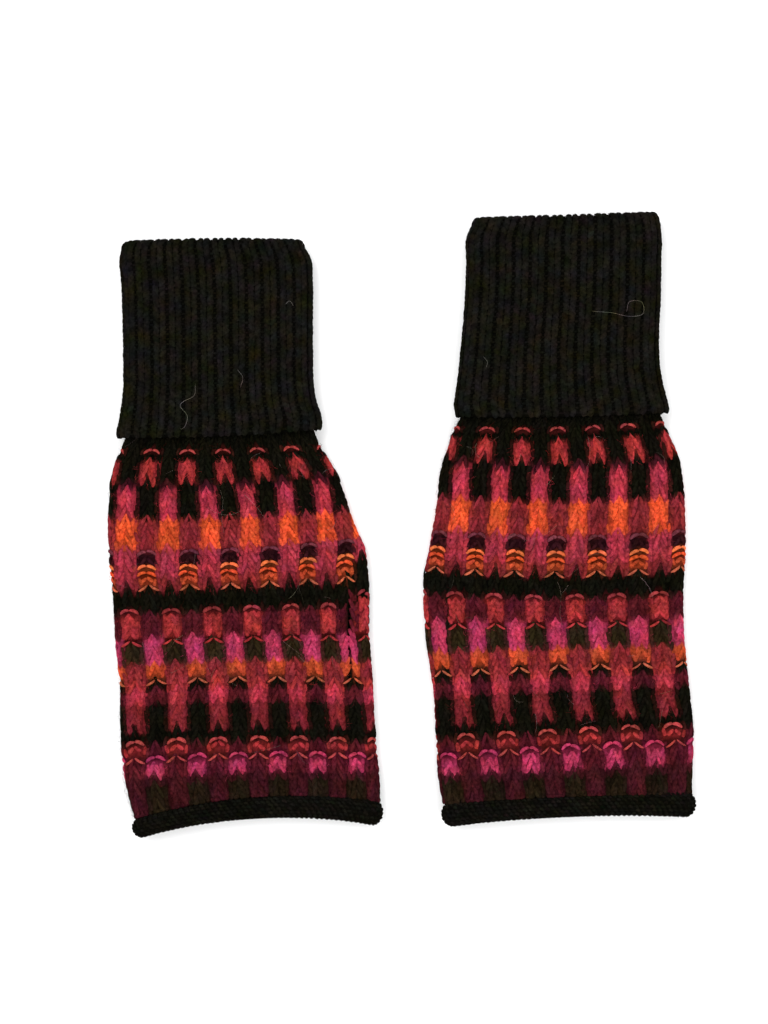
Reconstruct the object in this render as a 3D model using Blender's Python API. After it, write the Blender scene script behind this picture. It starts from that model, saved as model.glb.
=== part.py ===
"""A pair of knitted fingerless mittens, laid flat side by side.

Each mitten is one flattened tube of knitting in three pieces: a ribbed cuff folded back over itself, a
hand tube with a thumb slit, and a finger edge that rolls outwards. Every piece is a wall carried through
flattened rings.
"""
from collections import namedtuple

import bmesh
import bpy
import numpy as np

MM = 0.001  # the tables and sizes below are in millimetres, the scene in metres

# Walls and clearances
HAND_WALL = 2.2  # stranded knitting with its floats
CUFF_WALL = 2.0  # turned-back layer in the valleys between ribs
INNER_WALL = 2.1  # hidden layer of the cuff, against the wrist
LAYER_GAP = 0.4  # air between the two layers of the cuff
SEAM_GAP = 0.35  # between a piece and the next one along the tube

# Sides of a flattened ring
SIDE_REACH = 1.4  # how far the rounded side reaches in, in half heights
SIDE_POINTS = 48
DIRECTION_STEP = 0.2  # a ring's direction is taken across this much of it, each way

# Ribs of the cuff, knit one, purl one
RIBS = 26
RIB_HEIGHT = 0.8
RIB_PROFILE = (0.0, 0.0, 1.0, 1.0)  # valley, valley, crest, crest
RIB_FADE = 1.4  # how soon the ribs flatten out towards the pressed underside
RIM_DROP = 1.5  # the rounded rim reaches this far past its last ribbed ring
RIM_ROUND = 0.3  # and draws in by this much
FOLD_LEANS = (135.0, 90.0, 45.0)  # turns of the rings over the fold, in degrees

# Stitches round the hand tube
STITCHES = 52

# Rolled finger edge
ROLL_HEIGHT = 10.2  # both rolls, one on the other
ROLL_THICKNESS = 4.9
ROLL_STEPS = 8

# Thumb slit
SLIT_WIDTH = 0.8
SLIT_POINTS = 9
CUTTER_START = 3.1  # a height in the hollow between the two panels
CUTTER_DEPTH = 8.0

# A flattened ring of the tube. left, right: its sides along X. y_left, y_mid, y_right: where it lies at its
# left side, middle and right side. bottom, top: its underside and top along Z. crown: how much higher the
# loose upper panel stands in the middle.
Section = namedtuple("Section", "left right y_left y_mid y_right bottom top crown", defaults=(0.0,))

# A roll seen from above. half_left, half_mid, half_right: half its width along Y at those places.
Roll = namedtuple("Roll", "left right y_left y_mid y_right half_left half_mid half_right")

# The thumb slit. x, y_top, y_end: its line and its two ends. upper: whether it is in the upper panel.
Slit = namedtuple("Slit", "x y_top y_end upper")

LEFT_CUFF = (
    Section(-100.0, -35.0, 99.0, 100.0, 100.0, 0.0, 10.2),
    Section(-101.0, -33.0, 95.5, 96.5, 96.5, 0.0, 10.5),
    Section(-100.5, -32.0, 87.5, 88.0, 88.5, 0.0, 10.6),
    Section(-100.0, -32.0, 73.0, 74.0, 74.5, 0.0, 10.6),
    Section(-100.0, -32.0, 59.5, 60.0, 61.0, 0.0, 10.6),
    Section(-100.0, -31.5, 49.5, 50.0, 51.5, 0.0, 10.6),
    Section(-101.0, -30.5, 42.5, 43.0, 44.5, 0.0, 10.7),
    Section(-101.5, -29.0, 36.5, 37.0, 39.0, 0.0, 10.8),
    Section(-102.0, -28.5, 32.5, 33.0, 35.5, 0.0, 10.8),
)

RIGHT_CUFF = (
    Section(25.5, 93.0, 107.5, 108.5, 109.5, 0.0, 10.2),
    Section(24.0, 93.5, 104.5, 105.0, 106.0, 0.0, 10.5),
    Section(23.5, 93.5, 93.5, 93.5, 94.5, 0.0, 10.6),
    Section(23.0, 93.5, 80.5, 80.5, 81.5, 0.0, 10.6),
    Section(22.0, 93.0, 67.0, 67.0, 67.5, 0.0, 10.6),
    Section(20.5, 94.0, 53.5, 53.5, 54.5, 0.0, 10.6),
    Section(19.5, 95.5, 46.5, 46.5, 47.5, 0.0, 10.7),
    Section(19.0, 96.5, 42.5, 42.5, 44.0, 0.0, 10.8),
    Section(19.5, 97.0, 40.0, 40.0, 41.5, 0.0, 10.8),
)

LEFT_HAND = (
    Section(-98.0, -33.2, 39.0, 39.5, 41.5, 2.4, 7.4, 0.0),
    Section(-98.5, -32.0, 31.5, 31.5, 34.0, 2.4, 7.4, 0.1),
    Section(-99.7, -30.5, 28.0, 28.0, 30.8, 1.9, 7.2, 0.2),
    Section(-102.0, -27.5, 22.5, 22.5, 25.0, 0.6, 6.8, 0.3),
    Section(-103.8, -24.0, 16.0, 16.0, 19.0, 0.0, 6.5, 0.5),
    Section(-105.0, -20.0, 7.0, 7.0, 10.0, 0.0, 6.3, 0.6),
    Section(-105.5, -16.3, -3.0, -2.5, 0.5, 0.0, 6.2, 0.6),
    Section(-105.0, -12.5, -14.5, -13.5, -9.5, 0.0, 6.2, 0.6),
    Section(-103.8, -11.5, -24.5, -23.0, -20.5, 0.0, 6.2, 0.6),
    Section(-103.0, -11.5, -43.0, -41.0, -40.5, 0.0, 6.2, 0.6),
    Section(-101.3, -10.0, -58.0, -56.0, -57.0, 0.0, 6.2, 0.6),
    Section(-100.7, -9.6, -72.5, -70.5, -71.5, 0.0, 6.3, 0.6),
    Section(-99.5, -8.5, -84.0, -81.5, -82.0, 0.0, 6.6, 0.6),
    Section(-98.0, -7.5, -95.0, -91.5, -92.0, 0.4, 7.2, 0.6),
)

RIGHT_HAND = (
    Section(22.8, 92.2, 46.0, 46.0, 47.0, 2.4, 7.4, 0.0),
    Section(22.8, 93.4, 38.0, 38.0, 39.5, 2.4, 7.4, 0.1),
    Section(20.5, 94.5, 34.5, 34.0, 36.5, 1.9, 7.2, 0.2),
    Section(18.0, 97.0, 30.0, 28.5, 31.5, 0.6, 6.8, 0.3),
    Section(16.0, 100.0, 24.5, 22.5, 25.0, 0.0, 6.5, 0.5),
    Section(14.0, 101.5, 18.0, 16.0, 18.5, 0.0, 6.3, 0.6),
    Section(13.0, 102.5, 9.0, 7.0, 9.0, 0.0, 6.2, 0.6),
    Section(11.5, 102.5, -0.5, -2.5, -0.5, 0.0, 6.2, 0.6),
    Section(10.0, 102.5, -9.5, -11.5, -9.5, 0.0, 6.2, 0.6),
    Section(8.0, 102.0, -22.5, -24.5, -22.5, 0.0, 6.2, 0.6),
    Section(9.0, 102.0, -42.0, -41.0, -40.0, 0.0, 6.2, 0.6),
    Section(11.5, 103.5, -58.5, -56.0, -54.5, 0.0, 6.2, 0.6),
    Section(12.5, 105.0, -73.0, -70.5, -68.5, 0.0, 6.3, 0.6),
    Section(13.5, 105.5, -84.5, -81.5, -79.0, 0.0, 6.6, 0.6),
    Section(14.5, 105.0, -93.0, -91.5, -89.5, 0.4, 7.2, 0.6),
)

LEFT_ROLL = Roll(-96.5, -6.5, -109.0, -101.8, -103.8, 3.6, 4.1, 4.8)
RIGHT_ROLL = Roll(14.5, 106.0, -104.0, -101.3, -101.0, 4.6, 4.0, 4.7)

LEFT_SLIT = Slit(-18.7, -22.0, -60.0, True)
RIGHT_SLIT = Slit(16.5, -22.0, -60.0, False)

# End of the hand tube where it meets the roll, in from the roll's sides and up from the surface it lies on
HAND_END_IN = 1.5
HAND_END_BOTTOM = 1.5
HAND_END_TOP = 8.6
HAND_END_CROWN = 0.4


def clear_scene():
    """Remove whatever objects the open file holds."""
    for thing in list(bpy.data.objects):
        bpy.data.objects.remove(thing, do_unlink=True)


def knit_material(name, colour, roughness):
    """Plain woollen finish in one colour."""
    material = bpy.data.materials.new(name)
    material.use_nodes = True
    shader = material.node_tree.nodes["Principled BSDF"]
    shader.inputs["Base Color"].default_value = (*colour, 1.0)
    shader.inputs["Roughness"].default_value = roughness
    shader.inputs["Metallic"].default_value = 0.0
    return material


def bend(left, middle, right, across):
    """Smooth curve through three values, at across = -1, 0 and 1."""
    return middle + (right - left) / 2 * across + ((right + left) / 2 - middle) * across**2


def inset(section, depth):
    """The same ring moved inwards by a depth on every side."""
    return section._replace(
        left=section.left + depth,
        right=section.right - depth,
        bottom=section.bottom + depth,
        top=section.top - depth,
    )


def flat_ring(section, count):
    """Evenly spaced points of a flattened ring, with their outward directions in the XZ plane.

    The ring has a straight underside, elliptical sides and a straight or crowned top. It starts at the
    middle of the underside and goes round by the right side. With a count that 4 divides, it has a point at
    each side's end.
    """
    middle = (section.left + section.right) / 2
    half_width = (section.right - section.left) / 2
    half_height = (section.top - section.bottom) / 2
    side = min(SIDE_REACH * half_height, half_width)
    turn = np.linspace(-np.pi / 2, np.pi / 2, SIDE_POINTS)
    side_x = half_width - side + side * np.cos(turn)
    side_z = half_height * np.sin(turn)
    x = np.concatenate(([0.0], side_x, [0.0], -side_x[::-1], [0.0]))
    z = np.concatenate(([-half_height], side_z, [half_height], side_z[::-1], [-half_height]))
    length = np.concatenate(([0.0], np.cumsum(np.hypot(np.diff(x), np.diff(z)))))
    place = np.arange(count) / count * length[-1]
    ring_x = np.interp(place, length, x)
    ring_z = np.interp(place, length, z)
    step = DIRECTION_STEP
    ahead_x = np.interp(place + step, length, x) - np.interp(place - step, length, x, left=-step)
    ahead_z = np.interp(place + step, length, z) - np.interp(place - step, length, z)
    size = np.hypot(ahead_x, ahead_z)
    normal = np.stack((ahead_z / size, -ahead_x / size), axis=1)
    across = ring_x / half_width
    upper = np.clip(ring_z / half_height * 0.5 + 0.5, 0.0, 1.0)
    points = np.stack(
        (
            middle + ring_x,
            bend(section.y_left, section.y_mid, section.y_right, across),
            section.bottom + half_height + ring_z + section.crown * upper * (1 - across**2),
        ),
        axis=1,
    )
    return points, normal, across


def wall_from_rings(name, rings, material):
    """One closed body: each ring is joined to the next, and the last to the first."""
    count = len(rings[0])
    points = np.concatenate(rings) * MM
    faces = []
    for row in range(len(rings)):
        after = (row + 1) % len(rings)
        for i in range(count):
            j = (i + 1) % count
            faces.append((row * count + i, row * count + j, after * count + j, after * count + i))
    mesh = bpy.data.meshes.new(name)
    mesh.from_pydata([tuple(point) for point in points], [], faces)
    work = bmesh.new()
    work.from_mesh(mesh)
    bmesh.ops.recalc_face_normals(work, faces=work.faces)
    if work.calc_volume(signed=True) < 0:
        bmesh.ops.reverse_faces(work, faces=work.faces)
    work.to_mesh(mesh)
    work.free()
    mesh.materials.append(material)
    thing = bpy.data.objects.new(name, mesh)
    bpy.context.collection.objects.link(thing)
    return thing


def valleys(section, depth=0.0):
    """The ring through the valleys between a section's ribs, or a depth in from them.

    No rib stands on the underside, so the ring keeps its bottom at depth 0.
    """
    bare = inset(section, RIB_HEIGHT + depth)
    return bare._replace(bottom=section.bottom + depth)


def shifted(section, rise):
    """The same ring moved along Y."""
    return section._replace(
        y_left=section.y_left + rise,
        y_mid=section.y_mid + rise,
        y_right=section.y_right + rise,
    )


def ribbed_ring(section, lean=0.0):
    """Ring of the turned-back layer, with its ribs raised. At the fold they lean over, from 0 up to pi."""
    points, normal, _ = flat_ring(valleys(section), RIBS * len(RIB_PROFILE))
    height = RIB_HEIGHT * np.tile(RIB_PROFILE, RIBS)
    height = height * np.clip(RIB_FADE * (1 + normal[:, 1]), 0.0, 1.0)
    points[:, 0] += height * normal[:, 0] * np.cos(lean)
    points[:, 2] += height * normal[:, 1] * np.cos(lean)
    points[:, 1] += height * np.sin(lean)
    return points


def add_cuff(name, sections, join, material):
    """Folded cuff: up the inside as a plain layer, over the fold, and back down outside with its ribs.

    sections run down the turned-back layer from the fold to the rim. join is the ring where the hidden layer
    ends.
    """
    count = RIBS * len(RIB_PROFILE)

    def plain(section, depth):
        """Plain ring a depth in from a section's valleys."""
        return flat_ring(valleys(section, depth), count)[0]

    outer = [ribbed_ring(section) for section in sections]
    edge = shifted(sections[-1], -RIM_DROP)
    rim_outer = flat_ring(valleys(edge, RIM_ROUND)._replace(bottom=edge.bottom), count)[0]
    rim = [rim_outer, plain(edge, CUFF_WALL)]
    turned_inner = [plain(section, CUFF_WALL) for section in (sections[6], sections[3], sections[0])]

    hidden_start = CUFF_WALL + LAYER_GAP
    hidden_end = hidden_start + INNER_WALL
    hidden_outer = [plain(section, hidden_start) for section in (sections[0], sections[4])]
    hidden_outer.append(flat_ring(join, count)[0])
    hidden_inner = [flat_ring(inset(join, INNER_WALL), count)[0]]
    hidden_inner += [plain(section, hidden_end) for section in (sections[4], sections[0])]

    fold_radius = hidden_end / 2
    fold = []
    for lean in np.radians(FOLD_LEANS):
        over = shifted(sections[0], fold_radius * np.sin(lean))
        fold.append(ribbed_ring(inset(over, fold_radius * (1 - np.cos(lean))), lean))

    rings = hidden_inner + fold + outer + rim + turned_inner + hidden_outer
    return wall_from_rings(name, rings, material)


def hand_sections(sections, roll):
    """The hand's sections with one more at the end, which follows the upper side of the rolled edge."""
    side = (
        roll.y_left + roll.half_left + SEAM_GAP,
        roll.y_mid + roll.half_mid + SEAM_GAP,
        roll.y_right + roll.half_right + SEAM_GAP,
    )
    left, right = roll.left + HAND_END_IN, roll.right - HAND_END_IN
    end = Section(left, right, *side, HAND_END_BOTTOM, HAND_END_TOP, HAND_END_CROWN)
    return (*sections, end)


def add_slit(hand, slit):
    """Cut the thumb slit through one panel, as a narrow lens with pointed ends."""
    half_length = (slit.y_top - slit.y_end) / 2
    middle = (slit.y_top + slit.y_end) / 2
    along = np.linspace(-1.0, 1.0, SLIT_POINTS)
    width = SLIT_WIDTH / 2 * (1 - along**2)
    outline = [(slit.x + w, middle + half_length * a) for a, w in zip(along, width)]
    outline += [(slit.x - w, middle + half_length * a) for a, w in zip(along[-2:0:-1], width[-2:0:-1])]
    low = CUTTER_START if slit.upper else CUTTER_START - CUTTER_DEPTH
    work = bmesh.new()
    base = [work.verts.new((x * MM, y * MM, low * MM)) for x, y in outline]
    face = work.faces.new(base)
    raised = bmesh.ops.extrude_face_region(work, geom=[face])["geom"]
    corners = [item for item in raised if isinstance(item, bmesh.types.BMVert)]
    bmesh.ops.translate(work, verts=corners, vec=(0.0, 0.0, CUTTER_DEPTH * MM))
    bmesh.ops.recalc_face_normals(work, faces=work.faces)
    mesh = bpy.data.meshes.new(hand.name + "_slit_cutter")
    work.to_mesh(mesh)
    work.free()
    cutter = bpy.data.objects.new(mesh.name, mesh)
    bpy.context.collection.objects.link(cutter)
    cutter.hide_render = True
    cutter.display_type = "WIRE"
    cut = hand.modifiers.new("thumb slit", "BOOLEAN")
    cut.operation = "DIFFERENCE"
    cut.solver = "EXACT"
    cut.object = cutter


def add_hand(name, sections, slit, material):
    """Hand tube: the outer surface down to the fingers, and the plain inside back up."""
    outer = [flat_ring(section, STITCHES)[0] for section in sections]
    back_up = [sections[-1], *sections[-3:0:-2], sections[0]]
    inner = [flat_ring(inset(section, HAND_WALL), STITCHES)[0] for section in back_up]
    hand = wall_from_rings(name, outer + inner, material)
    add_slit(hand, slit)
    return hand


def add_rolled_edge(name, roll, material):
    """Finger edge rolled outwards: an oval roll all round the flattened opening."""
    rings = []
    for turn in np.arange(ROLL_STEPS) * 2 * np.pi / ROLL_STEPS:
        whole = Section(roll.left, roll.right, roll.y_left, roll.y_mid, roll.y_right, 0.0, ROLL_HEIGHT)
        points, _, across = flat_ring(inset(whole, ROLL_THICKNESS / 2 * (1 - np.cos(turn))), STITCHES)
        half = bend(roll.half_left, roll.half_mid, roll.half_right, across)
        points[:, 1] += half * np.sin(turn)
        rings.append(points)
    return wall_from_rings(name, rings, material)


def add_mitten(side, cuff, hand, roll, slit, rib_wool, hand_wool, edge_wool):
    """The three pieces of one mitten, from the wrist to the fingers."""
    add_cuff(side + "_cuff", cuff, shifted(hand[0], SEAM_GAP), rib_wool)
    add_hand(side + "_hand", hand_sections(hand, roll), slit, hand_wool)
    add_rolled_edge(side + "_rolled_edge", roll, edge_wool)


clear_scene()
black_rib = knit_material("black ribbed wool", (0.012, 0.011, 0.010), 0.95)
stranded = knit_material("stranded wool", (0.27, 0.03, 0.05), 0.92)
black_edge = knit_material("black rolled wool", (0.012, 0.011, 0.010), 0.95)
add_mitten("left", LEFT_CUFF, LEFT_HAND, LEFT_ROLL, LEFT_SLIT, black_rib, stranded, black_edge)
add_mitten("right", RIGHT_CUFF, RIGHT_HAND, RIGHT_ROLL, RIGHT_SLIT, black_rib, stranded, black_edge)
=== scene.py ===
"""Looks of a pair of knitted fingerless mittens, laid flat side by side and seen from above.

Lengths are in millimetres until a mesh is made. Each mitten is a flattened tube, so a place on it is a turn
round the tube, from 0 to 1, and a distance down it, from the wrist towards the fingers.
"""
from collections import namedtuple

import bpy
import numpy as np
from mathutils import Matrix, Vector


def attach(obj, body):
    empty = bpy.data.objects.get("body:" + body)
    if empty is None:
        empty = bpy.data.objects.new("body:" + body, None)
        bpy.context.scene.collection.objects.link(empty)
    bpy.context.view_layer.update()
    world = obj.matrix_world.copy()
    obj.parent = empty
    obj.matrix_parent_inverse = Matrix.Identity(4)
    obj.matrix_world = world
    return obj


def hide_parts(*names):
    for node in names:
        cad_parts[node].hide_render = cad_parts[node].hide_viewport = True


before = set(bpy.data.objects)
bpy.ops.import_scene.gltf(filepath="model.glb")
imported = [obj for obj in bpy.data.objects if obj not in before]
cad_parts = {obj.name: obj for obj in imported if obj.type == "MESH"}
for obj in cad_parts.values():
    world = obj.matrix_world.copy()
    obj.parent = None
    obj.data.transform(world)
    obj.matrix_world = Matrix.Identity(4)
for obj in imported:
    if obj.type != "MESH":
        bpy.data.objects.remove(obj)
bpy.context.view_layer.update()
scene = bpy.context.scene

# Camera, floor and light
# The pair lies on a plain white surface. The photograph looks straight down at it, under soft light from
# all round that is a little stronger from the upper left.
MM = 0.001
VIEW_CENTRE = (-6.1, 4.3)
VIEW_LENGTH = 368.6  # how much of the cloth's level the picture covers, top to bottom
CLOTH_LEVEL = 8.0
LENS = 85.0
SENSOR = 36.0
FLOOR_HALF = 1500.0
FLOOR_WHITES = (0.90, 0.93)  # the darkest and the lightest of its mottle, as linear light
SKY_LIGHT = 1.1

camera_data = bpy.data.cameras.new("camera")
camera_data.sensor_fit = "VERTICAL"
camera_data.sensor_height = SENSOR
camera_data.lens = LENS
camera = bpy.data.objects.new("camera", camera_data)
camera_height = CLOTH_LEVEL + VIEW_LENGTH * LENS / SENSOR
camera.location = (VIEW_CENTRE[0] * MM, VIEW_CENTRE[1] * MM, camera_height * MM)
scene.collection.objects.link(camera)
scene.camera = camera
scene.view_settings.view_transform = "Standard"


def add_light(name, place, size, power):
    """Square soft light at a place in metres, turned towards the middle of the pair."""
    data = bpy.data.lights.new(name, "AREA")
    data.size = size
    data.energy = power
    light = bpy.data.objects.new(name, data)
    light.location = place
    light.rotation_euler = (-Vector(place)).to_track_quat("-Z", "Y").to_euler()
    scene.collection.objects.link(light)


def feed(tree, target, inputs):
    """Set inputs of a shader node, by name or number, to plain values or to (node, output name) pairs."""
    for key, value in inputs.items():
        if isinstance(value, tuple) and isinstance(value[0], bpy.types.Node):
            tree.links.new(value[0].outputs[value[1]], target.inputs[key])
        else:
            target.inputs[key].default_value = value


def node(tree, kind, inputs=None, **settings):
    """New shader node with its settings and inputs."""
    made = tree.nodes.new(kind)
    for name, value in settings.items():
        setattr(made, name, value)
    feed(tree, made, inputs or {})
    return made


def new_material(name):
    """New material, with its node tree and its Principled shader."""
    material = bpy.data.materials.new(name)
    material.use_nodes = True
    return material, material.node_tree, material.node_tree.nodes["Principled BSDF"]


def floor_material():
    """Smooth white board with a very faint mottle."""
    material, tree, shader = new_material("white_board")
    place = node(tree, "ShaderNodeTexCoord")
    mottle = node(tree, "ShaderNodeTexNoise", {"Vector": (place, "Object"), "Scale": 40.0, "Detail": 3.0})
    ramp = node(tree, "ShaderNodeValToRGB", {"Fac": (mottle, "Fac")})
    for stop, white in zip(ramp.color_ramp.elements, FLOOR_WHITES):
        stop.color = (white, white, white, 1.0)
    feed(tree, shader, {"Roughness": 0.8, "Base Color": (ramp, "Color")})
    return material


add_light("key_light", place=(-0.75, 0.65, 1.25), size=0.9, power=14.0)
add_light("fill_light", place=(0.9, -0.5, 1.1), size=1.2, power=9.0)
world = bpy.data.worlds.new("studio")
world.use_nodes = True
sky = world.node_tree.nodes["Background"]
feed(world.node_tree, sky, {"Color": (1.0, 1.0, 1.0, 1.0), "Strength": SKY_LIGHT})
scene.world = world

floor_mesh = bpy.data.meshes.new("floor")
half = FLOOR_HALF * MM
corners = [(-half, -half, 0), (half, -half, 0), (half, half, 0), (-half, half, 0)]
floor_mesh.from_pydata(corners, [], [(0, 1, 2, 3)])
floor_mesh.materials.append(floor_material())
floor = bpy.data.objects.new("floor", floor_mesh)
scene.collection.objects.link(floor)

# Hand tubes: the knitted ground
# Each hand is stranded knitting in wool, worked in the round, about 2 mm thick with its floats. This is the
# cloth behind the stitches: a thin wall on the solid's form, coloured like the stitches that cover it but
# darker with painted shade, darkest behind and just below purl bumps.
SIDE_REACH = 1.4  # how far a flattened ring's rounded side reaches in, in half heights
SIDE_POINTS = 48
STITCHES = 52
ROW_HEIGHT = 2.48
FLOOR_GAP = 0.03  # nothing lies lower than this
GROUND_TOP = 0.55  # the ground lies this far below the stitches' tops
GROUND_UNDER = 2.1
GROUND_PAINTED_SHADE = 0.6  # painted shade: the share of a stitch's colour that the ground behind it has
SHADE_BEHIND_BUMPS = 0.12  # the same share, darker painted shade, behind purl bumps
SHADE_BELOW_BUMPS = 0.4  # and painted shade just below a bump that arches up
SLIT_TOP = 22.0  # where the thumb slit starts and ends, down the tube
SLIT_END = 60.0
SLIT_HALF = 0.4
SLIT_POINTS = 13
SLIT_SHADOW_BESIDE = 1.2  # painted shadow of the slit: the ground is black this far beside it
SLIT_SHADOW_PAST = 1.0  # and this far past its ends
BETWEEN_PANELS = 3.1  # a height between the upper and the lower panel
CUTTER_HEIGHT = 8.0
SLIT_STITCH = 24  # the slit runs down this stitch's left edge
EARLY_BLACK_ROW = 17  # where the black band starts to the right of the left mitten's slit
BLACK_ROW = 20  # where it starts elsewhere

# A flattened ring: its sides along X, its place along Y at its left side, middle and right side, its
# underside and top, and how much higher the loose upper panel stands in its middle.
Section = namedtuple("Section", "left right y_left y_mid y_right bottom top crown")

# A mitten's hand. sections: its rings, close to the CAD model's and fitted to the photo. anchors: how far
# down each row of ANCHOR_ROWS lies. fan: at some rows, how many of the 52 stitches show from above, where
# the first one starts, in stitches from the left side, and how much closer they lie towards the right side.
# first_a: the first stitch of a pattern column of kind A. slit_x: where the thumb slit lies, and slit_upper:
# whether it is in the upper panel.
Hand = namedtuple("Hand", "side sections anchors fan first_a slit_x slit_upper")

ANCHOR_ROWS = (-6, 0, 16, 19, 22, 27, 33, 42, 44, 46.5, 50, 51)
LEFT_RINGS = (
    (-98.0, -33.2, 39.0, 39.5, 41.5, 2.4, 7.4, 0.0),
    (-99.4, -31.4, 31.5, 31.5, 34.0, 2.4, 7.4, 0.1),
    (-100.9, -29.6, 28.0, 28.0, 29.6, 1.9, 7.2, 0.2),
    (-103.4, -26.6, 22.5, 22.5, 24.4, 0.6, 6.8, 0.3),
    (-104.9, -23.5, 16.0, 16.0, 19.0, 0.0, 6.5, 0.5),
    (-105.9, -19.9, 7.0, 7.0, 10.0, 0.0, 6.3, 0.6),
    (-106.2, -16.9, -3.0, -2.5, 0.5, 0.0, 6.2, 0.6),
    (-105.7, -12.7, -14.5, -13.5, -9.5, 0.0, 6.2, 0.6),
    (-104.5, -11.4, -24.5, -23.0, -20.5, 0.0, 6.2, 0.6),
    (-103.5, -11.1, -43.0, -41.0, -40.5, 0.0, 6.2, 0.6),
    (-101.9, -10.0, -58.0, -56.0, -57.0, 0.0, 6.2, 0.6),
    (-101.7, -9.4, -72.5, -70.5, -71.5, 0.0, 6.3, 0.6),
    (-101.0, -8.5, -84.0, -81.5, -82.0, 0.0, 6.6, 0.6),
    (-99.5, -7.5, -95.0, -91.5, -92.0, 0.4, 7.2, 0.6),
    (-96.5, -7.2, -106.4, -97.8, -100.2, 1.5, 8.6, 0.4),
)
LEFT_HAND = Hand(
    side="left",
    sections=[Section(*ring) for ring in LEFT_RINGS],
    anchors=(-39.0, -26.3, 14.7, 21.6, 30.4, 41.2, 55.4, 77.4, 83.0, 89.5, 97.9, 100.4),
    fan=(
        (3, 24.3, 0.15, 0.05),
        (11, 25.6, 0.12, 0.12),
        (17, 26.9, -0.12, 0.09),
        (28, 26.9, 0.0, 0.09),
        (40, 26.3, -0.1, 0.08),
        (46, 26.3, -0.5, 0.05),
        (50, 26.1, -0.9, 0.04),
    ),
    first_a=1,
    slit_x=-18.7,
    slit_upper=True,
)
RIGHT_RINGS = (
    (22.8, 92.2, 46.0, 46.0, 47.0, 2.4, 7.4, 0.0),
    (21.3, 94.0, 38.0, 38.0, 39.5, 2.4, 7.4, 0.1),
    (19.0, 95.2, 34.5, 34.0, 36.5, 1.9, 7.2, 0.2),
    (17.6, 97.6, 30.0, 28.5, 31.5, 0.6, 6.8, 0.3),
    (16.0, 100.4, 24.5, 22.5, 25.0, 0.0, 6.5, 0.5),
    (14.0, 101.9, 18.0, 16.0, 18.5, 0.0, 6.3, 0.6),
    (13.0, 102.9, 9.0, 7.0, 9.0, 0.0, 6.2, 0.6),
    (11.5, 103.2, -0.5, -2.5, -0.5, 0.0, 6.2, 0.6),
    (9.9, 103.3, -9.5, -11.5, -9.5, 0.0, 6.2, 0.6),
    (8.0, 102.5, -22.5, -24.5, -22.5, 0.0, 6.2, 0.6),
    (9.0, 102.7, -42.0, -41.0, -40.0, 0.0, 6.2, 0.6),
    (11.4, 104.1, -58.5, -56.0, -54.5, 0.0, 6.2, 0.6),
    (12.4, 105.6, -73.0, -70.5, -68.5, 0.0, 6.3, 0.6),
    (12.9, 106.2, -84.5, -81.5, -79.0, 0.0, 6.6, 0.6),
    (13.6, 105.6, -93.0, -91.5, -89.5, 0.4, 7.2, 0.6),
    (14.9, 105.3, -100.7, -97.6, -97.8, 1.5, 8.6, 0.4),
)
RIGHT_HAND = Hand(
    side="right",
    sections=[Section(*ring) for ring in RIGHT_RINGS],
    anchors=(-46.0, -34.2, 10.6, 17.7, 26.4, 36.2, 51.5, 74.5, 80.6, 88.6, 97.9, 100.4),
    fan=(
        (3, 25.0, -0.7, 0.0),
        (11, 26.0, 0.0, -0.055),
        (17, 26.2, 0.3, -0.055),
        (24, 26.7, 1.0, -0.085),
        (30, 26.4, 0.8, -0.075),
        (38, 26.2, 0.35, -0.07),
        (47, 25.6, 0.6, 0.0),
    ),
    first_a=2,
    slit_x=16.5,
    slit_upper=False,
)
HANDS = (LEFT_HAND, RIGHT_HAND)

# The pattern from the wrist to the fingers, a line for each run of like rows: how many rows, the yarn of
# the two stitches of column A, the yarn of the two of column B, and which columns are purled. A capital
# stands for bumps that arch up, and a small letter for bumps that hang below the block of colour. Some
# purl bumps take a paler copy of their yarn's colour, as painted highlight.
PATTERN = """
6 black black -
1 black light_red B
1 black black -
3 black red -
1 dark_plum black -
4 rose black -
4 orange crimson -
1 dull_rose mauve B
1 dull_rose wine_black -
1 dull_rose light_orange B
1 dull_rose orange B
1 crimson deep_orange -
1 dull_crimson tan b
2 black black -
1 dusty_red black A
4 red plum -
1 red magenta a
3 olive magenta -
2 crimson deep_orange -
1 crimson tan b
1 red black -
2 rose plum -
4 dull_crimson black -
1 black black -
1 light_red black A
1 red plum -
1 light_red magenta aB
2 plum magenta -
1 dark_plum dark_plum -
5 dark_plum dark_olive -
"""
FIRST_ROW = -6
KNIT, ARCHED, HANGING = 0, 1, 2  # a knit stitch, or a purled one whose bump arches up or hangs

# Yarn colours as a screen shows them, from 0 to 255. The paler ones of some purl bumps carry painted
# highlight.
YARNS = {
    "black": (13, 12, 7),
    "olive": (34, 26, 15),
    "dark_olive": (27, 20, 12),
    "plum": (66, 19, 26),
    "dark_plum": (52, 17, 22),
    "wine_black": (40, 15, 18),
    "mauve": (92, 42, 50),
    "dull_crimson": (104, 31, 36),
    "crimson": (112, 34, 38),
    "dusty_red": (119, 43, 45),
    "red": (136, 41, 42),
    # painted highlight: the red of some purl bumps, made paler where they catch the light
    "light_red": (140, 54, 52),
    "dull_rose": (137, 42, 54),
    "rose": (149, 44, 57),
    "magenta": (150, 45, 72),
    # painted highlight: a tan, the orange of hanging purl bumps made paler
    "tan": (154, 76, 54),
    "orange": (188, 68, 37),
    "deep_orange": (160, 61, 36),
    # painted highlight: the orange of some purl bumps, made paler where they catch the light
    "light_orange": (198, 94, 54),
}


def linear(colour):
    """Screen colour from 0 to 255 as linear light.

    It is the sRGB curve: a power of 2.4 above its short straight foot.
    """
    share = np.asarray(colour, float) / 255
    return np.where(share <= 0.04045, share / 12.92, ((share + 0.055) / 1.055) ** 2.4)


def bend(left, middle, right, across):
    """Parabola through three values, at across = -1, 0 and 1."""
    return middle + (right - left) / 2 * across + ((right + left) / 2 - middle) * across**2


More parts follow.
